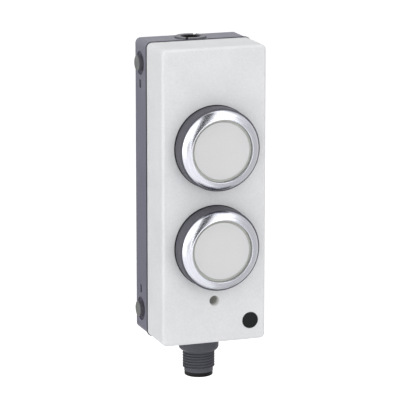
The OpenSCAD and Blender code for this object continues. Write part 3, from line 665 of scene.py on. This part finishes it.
def notched_ring():
    """Ring with two notches in its rim."""
    height = RING_HIGH.y - RING_LOW.y
    bm = new_turning([(RING_BORE_R, 0), (RING_OUTER_R, 0), (RING_OUTER_R, height), (RING_BORE_R, height)], 96)
    cuts = []
    for turn in NOTCH_TURNS:
        cut = new_block((RING_BORE_R - PAST, -NOTCH_W / 2, height - NOTCH_DEPTH),
                        (RING_OUTER_R + PAST, NOTCH_W / 2, height + PAST))
        bmesh.ops.rotate(cut, matrix=Matrix.Rotation(math.radians(turn), 3, "Z"), verts=cut.verts)
        cuts.append(cut)
    bm = carve(bm, cuts)
    soften(bm, 0.2, 3)
    finish_piece(bm, "notched_ring", [ring_polyamide], "housing", ["top_ring"],
                 at(RING.x, RING_LOW.y, RING.z, "up"))


def ring_insert():
    """Black insert with a dished face inside the ring."""
    stem, face = (corner.y - RING_LOW.y for corner in span("top_insert"))
    bevel, corner_r = 0.15, 0.1
    rim_in = RING_INSERT_R - 0.6
    dish = face - 0.8
    outline = [(0, stem), (RING_STEM_R, stem), (RING_STEM_R, 0), (RING_INSERT_R, 0),
               (RING_INSERT_R, face - bevel), (RING_INSERT_R - bevel, face), (rim_in + bevel, face),
               (rim_in, face - bevel), (rim_in, dish + corner_r), (rim_in - corner_r, dish), (0, dish)]
    finish_piece(new_turning(outline, 72), "ring_insert", [insert_black], "housing",
                 ["top_insert"], at(RING.x, RING_LOW.y, RING.z, "up"))


def light_guide():
    """Light guide whose end is a shallow dish in the small window."""
    foot_top = PANEL_IN - BOSS_H
    foot_low = foot_top - GUIDE_FOOT_T
    steps = 12
    shares = [1 - i / steps for i in range(steps + 1)]
    dish = [(GUIDE_R * share, STATUS_HIGH.z - DISH_DEPTH * (1 - share ** 2)) for share in shares]
    outline = [(0, STATUS_LOW.z), (GUIDE_R, STATUS_LOW.z), (GUIDE_R, foot_low), (GUIDE_FOOT_R, foot_low),
               (GUIDE_FOOT_R, foot_top), (GUIDE_END_R, foot_top), (GUIDE_END_R, STATUS_HIGH.z)] + dish
    finish_piece(new_turning(outline, 64), "light_guide", [guide_acrylic_shaded], "housing",
                 ["status_lens"], at(0, STATUS.y, 0))


def plain_disc():
    """Plain round inlay with a soft rim."""
    edge_r = 0.12
    rim = arc((INLAY_R - edge_r, INLAY_HIGH.z - edge_r), edge_r, 0, 90, 4)
    outline = [(0, INLAY_LOW.z), (INLAY_R, INLAY_LOW.z)] + rim + [(0, INLAY_HIGH.z)]
    finish_piece(new_turning(outline, 72), "plain_disc", [inlay_polyester], "housing",
                 ["blank_inlay"], at(INLAY.x, INLAY.y, 0))


def thread_ridge(start, end, pitch, core, crest):
    """Ridge of a thread: a section carried round the axis and cut flat at both ends."""
    root = core - 0.15
    root_half, crest_half = 0.47 * pitch, 0.12 * pitch
    section = [(root, -root_half), (crest, -crest_half), (crest, crest_half), (root, root_half)]
    bm = bmesh.new()
    points = [bm.verts.new((radius, 0, start - pitch + height)) for radius, height in section]
    edges = [bm.edges.new(pair) for pair in zip(points, points[1:] + points[:1])]
    turns = (end - start) / pitch + 2
    steps = round(turns * 64)
    bmesh.ops.spin(bm, geom=points + edges, cent=(0, 0, 0), axis=(0, 0, 1), angle=math.tau * turns,
                   steps=steps, dvec=(0, 0, pitch * turns / steps))
    for level, keep in ((start, 1), (end, -1)):
        bmesh.ops.bisect_plane(bm, geom=bm.verts[:] + bm.edges[:] + bm.faces[:], plane_co=(0, 0, level),
                               plane_no=(0, 0, -keep), clear_outer=True)
        bmesh.ops.holes_fill(bm, edges=[e for e in bm.edges if e.is_boundary])
    bmesh.ops.recalc_face_normals(bm, faces=bm.faces)
    return bm


def plug_shell():
    """Shell of the connector: stem, flange, neck, thread and plain end."""
    round_r = FLANGE_R - FLANGE_ROUND
    neck_start = FLANGE_END + FLANGE_ROUND
    outline = [(SHELL_BORE_R, SHELL_IN), (SHELL_STEM_R, SHELL_IN), (SHELL_STEM_R, PLUG_SEAL_T)]
    outline += [(FLANGE_R, PLUG_SEAL_T), (FLANGE_R, FLANGE_END)]
    outline += arc((round_r, FLANGE_END), FLANGE_ROUND, 5, 85, 12)
    outline += [(round_r, neck_start), (NECK_R, neck_start + 0.05), (NECK_R, THREAD_START - 0.1)]
    outline += [(THREAD_CORE_R, THREAD_START + 0.05), (SPIGOT_R, SPIGOT_END), (SHELL_BORE_R, SPIGOT_END)]
    bm = new_turning(outline, 96)
    soften(bm, 0.1, 2, 40)
    join(bm, thread_ridge(THREAD_START, THREAD_END, THREAD_PITCH, THREAD_CORE_R, THREAD_R))
    finish_piece(bm, "plug_shell", [plug_polyamide], "housing", ["connector_shell"],
                 PLUG)


def plug_insert():
    """Black insert with the socket, its key and the end lip."""
    edge_r = 0.25
    lip = arc((LIP_R - edge_r, LIP_END - edge_r), edge_r, 0, 90, 5)
    lip += arc((SOCKET_R + edge_r, LIP_END - edge_r), edge_r, 90, 180, 5)
    outline = [(0, PLUG_INSERT_IN), (PLUG_INSERT_R, PLUG_INSERT_IN), (PLUG_INSERT_R, SPIGOT_END),
               (LIP_R, SPIGOT_END)] + lip + [(SOCKET_R, SOCKET_FLOOR), (0, SOCKET_FLOOR)]
    bm = new_turning(outline, 96)
    key = new_block((-KEY_W / 2, SOCKET_R - 0.6, SOCKET_FLOOR - OVERLAP),
                    (KEY_W / 2, SOCKET_R + 0.3, LIP_END - 1))
    bm = carve(bm, [key], "UNION")
    turns = [QUARTER * (i + 0.5) for i in range(4)]
    places = [(0, 0)] + [(PIN_CIRCLE_R * math.cos(turn), PIN_CIRCLE_R * math.sin(turn)) for turn in turns]
    length = SOCKET_FLOOR - PLUG_INSERT_IN + 2 * PAST
    bm = carve(bm, [new_rod(PIN_HOLE_R, length, at(x, y, PLUG_INSERT_IN - PAST), 24) for x, y in places])
    soften(bm, 0.1, 2, 40)
    finish_piece(bm, "plug_insert", [insert_black], "housing", ["connector_insert"], PLUG)


def collar(side, place):
    """Dark collar in front of the panel, with the sleeve that goes through it."""
    outline = [(SLEEVE_BORE_R, SLEEVE_END), (SLEEVE_R, SLEEVE_END), (SLEEVE_R, COLLAR_SEAT),
               (COLLAR_R, COLLAR_SEAT), (COLLAR_R, COLLAR_TOP), (COLLAR_BORE_R, COLLAR_TOP),
               (COLLAR_BORE_R, COLLAR_FLOOR), (SLEEVE_BORE_R, COLLAR_FLOOR), (SLEEVE_BORE_R, GROOVE_HIGH),
               (GROOVE_R, GROOVE_HIGH), (GROOVE_R, GROOVE_LOW), (SLEEVE_BORE_R, GROOVE_LOW)]
    bm = new_turning(outline, 128)
    rim_r = (COLLAR_BORE_R + COLLAR_R) / 2

    def is_top(edge):
        """Whether an edge lies in the top face of the collar."""
        return abs(edge.verts[0].co.z - COLLAR_TOP) < NEAR

    # The outer edge of the top is rounder than the others, and its inner edge stays sharp under the bezel
    soften(bm, 0.2, 3, where=lambda e: not is_top(e))
    soften(bm, 0.45, 4, where=lambda e: is_top(e) and e.verts[0].co.xy.length > rim_r)
    finish_piece(bm, side + "_collar_ring", [collar_polyamide], "housing",
                 [side + "_collar"], place)


def map_round(bm):
    """Lays a map on a turned shape: the first coordinate goes round, the second one along the section."""
    layer = bm.loops.layers.uv.new(ROUND_MAP)
    per_mm = 0.05
    for face in bm.faces:
        turns = [math.atan2(loop.vert.co.y, loop.vert.co.x) / math.tau % 1 for loop in face.loops]
        wraps = max(turns) - min(turns) > 0.5
        for loop, turn in zip(face.loops, turns):
            radius = math.hypot(loop.vert.co.x, loop.vert.co.y)
            loop[layer].uv = (turn + (1 if wraps and turn < 0.5 else 0), per_mm * (loop.vert.co.z - radius))


def bezel(side, place):
    """Metal ring with a crowned face, whose skirt sits in the collar."""
    bevel, lip_r = 0.1, 0.2
    low = Vector((BEZEL_R, COLLAR_TOP + 0.25))
    high = Vector((BEZEL_BORE_R + lip_r, BEZEL_TOP))
    half = (high - low).length / 2
    along = (high - low).normalized()
    centre = (low + high) / 2 + math.sqrt(CROWN_R ** 2 - half ** 2) * Vector((-along.y, along.x))
    start, end = (math.degrees(math.atan2(p.y - centre.y, p.x - centre.x)) for p in (low, high))
    crown = arc(centre, CROWN_R, start, end, 16)
    lip = arc((high.x, BEZEL_TOP - lip_r), lip_r, 90, 180, 5)
    outline = [(BEZEL_BORE_R, BEZEL_SKIRT_LOW), (BEZEL_SKIRT_R, BEZEL_SKIRT_LOW),
               (BEZEL_SKIRT_R, COLLAR_TOP), (BEZEL_R - bevel, COLLAR_TOP), (BEZEL_R, COLLAR_TOP + bevel)]
    bm = new_turning(outline + crown + lip[1:], 160)
    map_round(bm)
    finish_piece(bm, side + "_bezel_ring", [bezel_steel], "housing", [side + "_bezel"], place)


def lens_cap(side, place):
    """Frosted cap with a raised face and a low band round it."""
    edge_r, bevel = 0.25, 0.04
    step = LENS_HIGH - 0.5
    top_in = LENS_LOW + 1.5
    rim = arc((LENS_FACE_R - edge_r, LENS_HIGH - edge_r), edge_r, 0, 90, 5)
    outline = [(0, top_in), (LENS_BORE_R, top_in), (LENS_BORE_R, LENS_LOW), (LENS_SKIRT_R, LENS_LOW),
               (LENS_SKIRT_R, step - bevel), (LENS_SKIRT_R - 0.03, step), (LENS_FACE_R, step)]
    bm = new_turning(outline + rim + [(0, LENS_HIGH)], 128)
    # The band and the upright edge beside it get the second material, with painted shade
    for face in bm.faces:
        spot = face.calc_center_median()
        if math.hypot(spot.x, spot.y) > LENS_FACE_R - bevel:
            face.material_index = 1
    finish_piece(bm, side + "_lens_cap", [lens_polycarbonate, lens_band_shaded], side + "_button",
                 [side + "_lens"], place)


def return_coil(side, place):
    """Wire spring with closed ends, which gets a mesh of its own."""
    low, high = span(side + "_return_spring")
    end_rise, open_turns = 0.85, 3.5
    open_rise = (high.z - low.z - 2 * WIRE_R - 2 * end_rise) / open_turns
    bm = bmesh.new()
    turned = Matrix.Translation((COIL_R, 0, low.z + WIRE_R)) @ Matrix.Rotation(QUARTER, 4, "X")
    section = bmesh.ops.create_circle(bm, cap_ends=False, radius=WIRE_R, segments=10, matrix=turned)
    last = section["verts"] + bm.edges[:]
    for turns, rise in ((1, end_rise), (open_turns, open_rise), (1, end_rise)):
        steps = round(turns * 40)
        moved = bmesh.ops.spin(bm, geom=last, cent=(0, 0, 0), axis=(0, 0, 1), angle=math.tau * turns,
                               steps=steps, dvec=(0, 0, rise * turns / steps))
        last = moved["geom_last"]
    bmesh.ops.holes_fill(bm, edges=[e for e in bm.edges if e.is_boundary])
    coil = finish_piece(bm, side + "_return_coil", [spring_steel], "housing",
                        [side + "_return_spring"], place)
    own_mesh(coil)


def softbox(name, size, distance, direction, level):
    """Square lamp that looks at the object. Its power grows with its level and its area."""
    data = bpy.data.lights.new(name, "AREA")
    data.shape = "SQUARE"
    data.size = size
    data.energy = level * math.pi * size ** 2
    lamp = bpy.data.objects.new(name, data)
    lamp.location = Vector(direction).normalized() * distance
    lamp.rotation_euler = (-lamp.location).to_track_quat("-Z", "Y").to_euler()
    bpy.context.scene.collection.objects.link(lamp)


def stage_object(bm, name, material):
    """Object that isn't part of the station, such as the floor."""
    bmesh.ops.recalc_face_normals(bm, faces=bm.faces)
    obj = as_object(bm, name)
    obj.data.materials.append(material)
    return obj


def seen_by_eye(tree):
    """Socket that is 1 for the camera and for what metal and glass show, and 0 for light on the object."""
    sight = add(tree, "ShaderNodeLightPath").outputs
    shown = add(tree, "ShaderNodeMath", {0: sight["Is Camera Ray"], 1: sight["Is Glossy Ray"]},
                operation="MAXIMUM")
    return add(tree, "ShaderNodeMath", {0: shown.outputs[0], 1: sight["Is Transmission Ray"]},
               operation="MAXIMUM").outputs[0]


# The arch of cards over the station: its middle line goes round this axis, from this point of the front
ARCH_AXIS = Vector((0.962, -0.24, 0.145)).normalized()
ARCH_FRONT = Vector((-0.24, -0.97, 0.05)).normalized()
ARCH_R = 0.9


def card_stock(name, radiance):
    """Card that doesn't reflect, and shows one plain level of light."""
    level = (radiance, radiance, radiance, 1)
    return new_material(name, {"Base Color": (0, 0, 0, 1), "Roughness": 1.0, "Specular IOR Level": 0.0,
                               "Emission Color": level, "Emission Strength": 1.0})[0]


def new_card(name, rim, axis, turn, material):
    """Curved card that an edge draws as it turns about an axis. Only reflections see it."""
    bm = bmesh.new()
    ends = [bm.verts.new(point) for point in rim]
    bmesh.ops.spin(bm, geom=ends + [bm.edges.new(ends)], cent=(0, 0, 0), axis=axis, angle=math.radians(turn),
                   steps=24)
    card = stage_object(bm, name, material)
    card.visible_camera = False
    card.visible_diffuse = False
    card.visible_shadow = False
    card.visible_transmission = False


def arch_card(name, tilts, turns, material):
    """Card in the arch, between two tilts off its middle line and two turns along it, in degrees."""
    along = Matrix.Rotation(math.radians(turns[0]), 3, ARCH_AXIS)
    across = ARCH_AXIS.cross(ARCH_FRONT)
    rim = [along @ Matrix.Rotation(math.radians(tilt), 3, across) @ ARCH_FRONT * ARCH_R for tilt in tilts]
    new_card(name, rim, ARCH_AXIS, turns[1] - turns[0], material)


cover_shell()
tray_shell()
side_screw_heads()
notched_ring()
ring_insert()
light_guide()
plain_disc()
plug_shell()
plug_insert()

for side, y in BUTTONS.items():
    place = at(0, y, 0)
    collar(side, place)
    bezel(side, place)
    lens_cap(side, place)
    return_coil(side, place)

# CAD nodes that stay as they are and get a better material
kept_nodes = {
    "housing_gasket": gasket_rubber,
    "circuit_board": board_lacquer,
    "board_screws": board_screw_steel,
    "status_led": led_epoxy,
    "connector_pins": contact_brass,
    "connector_seal": seal_rubber,
    "connector_locknut": nut_zamak,
}
kept_inside_buttons = {
    "collar_seal": seal_rubber,
    "fixing_nut": nut_zamak,
    "wiper_seal": seal_rubber,
    "diffuser": diffuser_acrylic,
    "plunger": plunger_acetal,
    "contact_bridges": contact_brass,
    "contact_block": block_plastic,
    "fixed_contacts": contact_brass,
    "led": led_epoxy,
}
for side in BUTTONS:
    kept_nodes.update({side + "_" + name: material for name, material in kept_inside_buttons.items()})
for name, material in kept_nodes.items():
    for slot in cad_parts[name].material_slots:
        slot.material = material

# Floor: matt white paint. To the camera it glows a little, so that it turns white but keeps the shadow.
FLOOR_Z = -0.25
FLOOR_SIZE = 4
floor_paint, floor_tree, floor_shader = new_material("matt_white_paint", {
    "Base Color": linear("#F2F2F2"), "Roughness": 0.9})
floor_tree.links.new(seen_by_eye(floor_tree), floor_shader.inputs["Emission Strength"])
floor_shader.inputs["Emission Color"].default_value = linear("#C8C8C8")
floor_mesh = bmesh.new()
bmesh.ops.create_grid(floor_mesh, x_segments=1, y_segments=1, size=FLOOR_SIZE,
                      matrix=Matrix.Translation((0, 0, FLOOR_Z)))
stage_object(floor_mesh, "floor", floor_paint)

# World: white to the camera and in reflections, and a plain low light on the object
WORLD_LIGHT = 0.4
world = bpy.data.worlds.new("studio")
bpy.context.scene.world = world
world.use_nodes = True
world.node_tree.nodes.clear()
level = add(world.node_tree, "ShaderNodeMapRange", {"Value": seen_by_eye(world.node_tree),
                                                    "To Min": WORLD_LIGHT, "To Max": 1.0})
sky = add(world.node_tree, "ShaderNodeBackground", {"Color": (1, 1, 1, 1), "Strength": level.outputs[0]})
add(world.node_tree, "ShaderNodeOutputWorld", {"Surface": sky.outputs[0]})

# Lamps: soft light from above and from the left, and a broad fill from the front. Lengths in metres.
softbox("top_softbox", 1.0, 1.3, (0.15, -0.05, 1), 2.2)
softbox("left_softbox", 1.0, 1.3, (-1, -0.05, 0.12), 2.05)
softbox("front_softbox", 2.4, 1.6, (0, -1, 0.1), 1.26)

# A black flag draws the dark streak across the brushed metal, and white cards the bright zones beside it
arch_card("black_flag", (-14, 12), (5, -100), card_stock("black_velvet", 0))
white_card = card_stock("lit_white_card", 2)
arch_card("left_card", (13, 62), (-16, -88), white_card)
arch_card("top_card", (-15, -55), (-18, -108), white_card)

# A grey card on the right and below tones the metal down on that side
CARD_R = 0.24
CARD_END = 0.6
card_start = Matrix.Rotation(math.radians(-8), 3, "Y")
card_rim = [card_start @ Vector((0, along, -CARD_R)) for along in (-CARD_END, CARD_END)]
new_card("right_card", card_rim, (0, 1, 0), -110, card_stock("lit_grey_card", 0.83))

# A low black wall behind the station keeps the dark plastic's outlines dark
WALL_FLAG_R = 0.5
WALL_FLAG_LEVELS = (-0.24, -0.02)
wall_start = Matrix.Rotation(math.radians(45), 3, "Z")
wall_rim = [wall_start @ Vector((0, WALL_FLAG_R, height)) for height in WALL_FLAG_LEVELS]
new_card("wall_flag", wall_rim, (0, 0, 1), -105, card_stock("black_paper", 0))

# Camera: where the photograph was taken from, left of the front and a little above. Lengths in metres.
YAW = math.radians(19.453)
PITCH = math.radians(12.707)
DISTANCE = 1.041206
LEFT_OF_AIM = 0.000126
BELOW_AIM = 0.004354
AIM = Vector((0, -0.015, 0))
view = Vector((math.sin(YAW) * math.cos(PITCH), math.cos(YAW) * math.cos(PITCH), -math.sin(PITCH)))
right = Vector((math.cos(YAW), -math.sin(YAW), 0))
down = view.cross(right)
camera_data = bpy.data.cameras.new("camera")
camera_data.sensor_width = 36
camera_data.lens = 254.32
camera_data.clip_end = 20
camera = bpy.data.objects.new("camera", camera_data)
camera.location = AIM - (LEFT_OF_AIM * right - BELOW_AIM * down + DISTANCE * view)
camera.rotation_euler = view.to_track_quat("-Z", "Y").to_euler()
bpy.context.scene.collection.objects.link(camera)
bpy.context.scene.camera = camera

bpy.context.scene.view_settings.view_transform = "Standard"
